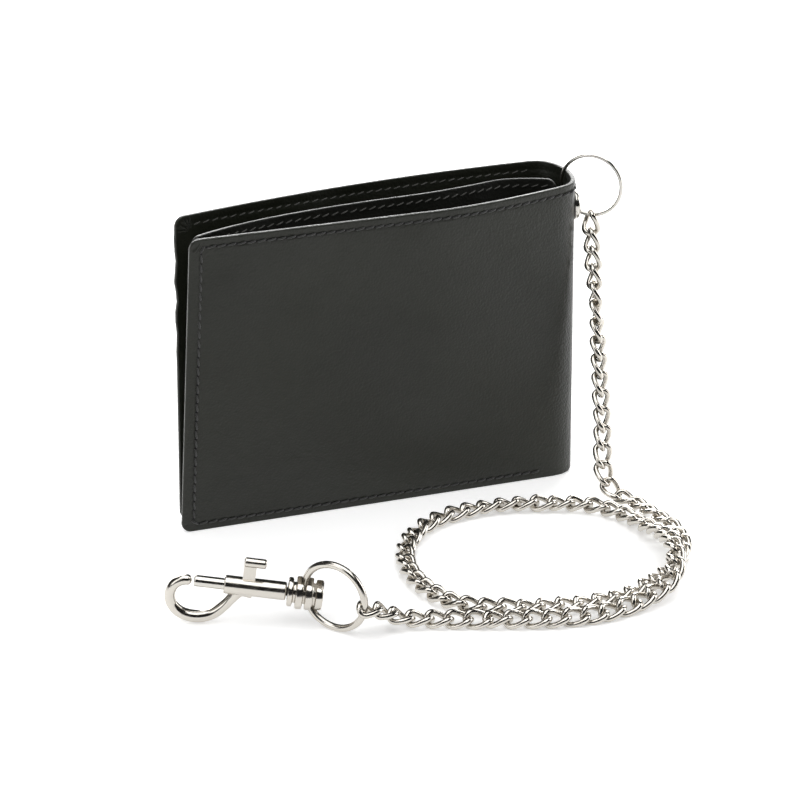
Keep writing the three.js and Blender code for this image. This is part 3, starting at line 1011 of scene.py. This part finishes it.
FAN = [math.radians(a) for a in (4, 17, 31, 45, 58, 72, 86)]
gathers("gathers_back_inside", outer_back, -1, FAN, False)
gathers("gathers_back", outer_back, 1, FAN[1:6], False)
gathers("gathers_front_inside", outer_front, -1, FAN, True)

# The front cover's corner is folded over along a short slanting crease.
crease = Soup()
ends = np.array([(0.9, outer_front.top - 4.0), (3.0, outer_front.top - 0.9)])
crease.tube([outer_front.surface(*map(float, lerp(ends[0], ends[1], t)), 1, -0.08)
             for t in np.linspace(0, 1, 10)],
            lambda t: 0.08 + 0.3 * math.sin(math.pi * t), sides=9)
bends(crease.make("crease_front", OUTER, "outer_leather"), True)

for n, (side, sheet) in enumerate(pockets):
    seam = Soup()
    high = sheet.top - 1.6
    stitches(seam, None, sheet, [(1.5, high), (sheet.long(high) - 1.5, high)], 1,
             thread=0.15)
    obj = seam.make(f"stitches_pocket_{n + 1}", THREAD, "pocket_leather")
    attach(obj, f"{side}_leaf")

# ---------------------------------------------------------------- eyelet
EYELET_Z = 77.75
EYELET_Y = 11.2
EYELET_PROFILE = [         # out from its front rim, and radius: the barrel, then the rolled rim
    (-3.4, 2.9), (-1.0, 2.85), (-0.5, 2.95), (-0.25, 3.2), (-0.25, 3.6), (-0.4, 4.05),
    (-0.7, 4.35), (-1.1, 4.45), (-1.6, 4.4), (-2.1, 4.0),
]
eyelet_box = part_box("eyelet")
eyelet_out = (eyelet_box[1].x - ORIGIN.x) / MM


def eyelet_ring(sides=48):
    soup = Soup()
    rows = []
    for x, r in EYELET_PROFILE:
        turns = (math.tau * k / sides for k in range(sides))
        rows.append([
            Vector((eyelet_out + x, EYELET_Y + r * math.cos(a), EYELET_Z + r * math.sin(a)))
            for a in turns
        ])
    soup.grid(rows, closed_u=True)
    return soup.make("eyelet_rolled", BRIGHT, "eyelet_nickel")


eyelet_obj = eyelet_ring()
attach(eyelet_obj, "spine")
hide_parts("eyelet")

# ---------------------------------------------------------------- floor and light
floor_mesh = bpy.data.meshes.new("floor")
FLOOR = 6.0            # half its width, in metres
floor_mesh.from_pydata(
    [(-FLOOR, -FLOOR, 0), (FLOOR, -FLOOR, 0), (FLOOR, FLOOR, 0), (-FLOOR, FLOOR, 0)], [],
    [(0, 1, 2, 3)],
)
floor = bpy.data.objects.new("floor", floor_mesh)
PAPER = material("floor", (0.88, 0.88, 0.88), 0.6)


def soft_range(tree, socket, start, end, low, high):
    """socket's values from start to end, turned softly into values from low to high."""
    r = tree.nodes.new("ShaderNodeMapRange")
    r.interpolation_type = "SMOOTHSTEP"
    for key, value in zip(("From Min", "From Max", "To Min", "To Max"), (start, end, low, high)):
        r.inputs[key].default_value = value
    tree.links.new(socket, r.inputs["Value"])
    return r.outputs["Result"]


def combined(tree, operation, first, second):
    """Two sockets put together by one sum or product."""
    n = tree.nodes.new("ShaderNodeMath")
    n.operation = operation
    tree.links.new(first, n.inputs[0])
    tree.links.new(second, n.inputs[1])
    return n.outputs["Value"]


def paper_glow(centre, radii, strengths):
    """A glow over the floor that goes from one strength to the other between two radii."""
    tree = PAPER.node_tree
    away = tree.nodes.new("ShaderNodeVectorMath")
    away.operation = "DISTANCE"
    away.inputs[1].default_value = centre
    tree.links.new(coordinate(PAPER), away.inputs[0])
    return soft_range(tree, away.outputs["Value"], *radii, *strengths)


# The pale floor glows a little, more just before the wallet and more again far away.
far_glow = paper_glow((0, 0, 0), (0.3, 2.0), (0.30, 0.85))
near_glow = paper_glow((-0.05, -0.05, 0), (0.03, 0.15), (0.12, 0.0))
PAPER.node_tree.nodes["Principled BSDF"].inputs["Emission Color"].default_value = (1, 1, 1, 1)
plug(PAPER, combined(PAPER.node_tree, "ADD", far_glow, near_glow), "Emission Strength")
floor_mesh.materials.append(PAPER)
bpy.context.collection.objects.link(floor)


MIDDLE = (0.0, -0.02, 0.04)    # what every light points at, in metres
LIGHTS = (                     # name, place, width and height in metres, and watts
    ("above", (-0.1, -0.15, 1.0), (1.1, 1.1), 9.0),
    ("left", (-0.9, -0.35, 0.5), (0.5, 0.7), 2.0),
    ("right", (0.9, -0.2, 0.35), (0.4, 0.7), 3.5),
    ("rim", (0.3, 0.9, 0.4), (1.4, 0.7), 20.0),
)
for name, place, size, power in LIGHTS:
    light = bpy.data.lights.new(name, "AREA")
    light.shape = "RECTANGLE"
    light.size, light.size_y = size
    light.energy = power
    obj = bpy.data.objects.new(name, light)
    obj.location = place
    obj.rotation_mode = "QUATERNION"
    obj.rotation_quaternion = (Vector(MIDDLE) - Vector(place)).to_track_quat("-Z", "Y")
    bpy.context.collection.objects.link(obj)

# The room: a pale wall behind the object, and it gets darker to the front and above.
sky = bpy.data.worlds.new("sky")
sky.use_nodes = True
room = sky.node_tree
direction = room.nodes.new("ShaderNodeTexCoord")
split = room.nodes.new("ShaderNodeSeparateXYZ")
room.links.new(direction.outputs["Generated"], split.inputs["Vector"])
behind = soft_range(room, split.outputs["Y"], -0.3, 0.6, 0.38, 1.1)
overhead = soft_range(room, split.outputs["Z"], 0.4, 0.9, 1.0, 0.45)
room.links.new(combined(room, "MULTIPLY", behind, overhead),
               room.nodes["Background"].inputs["Strength"])
bpy.context.scene.world = sky
bpy.context.scene.view_settings.view_transform = "Standard"
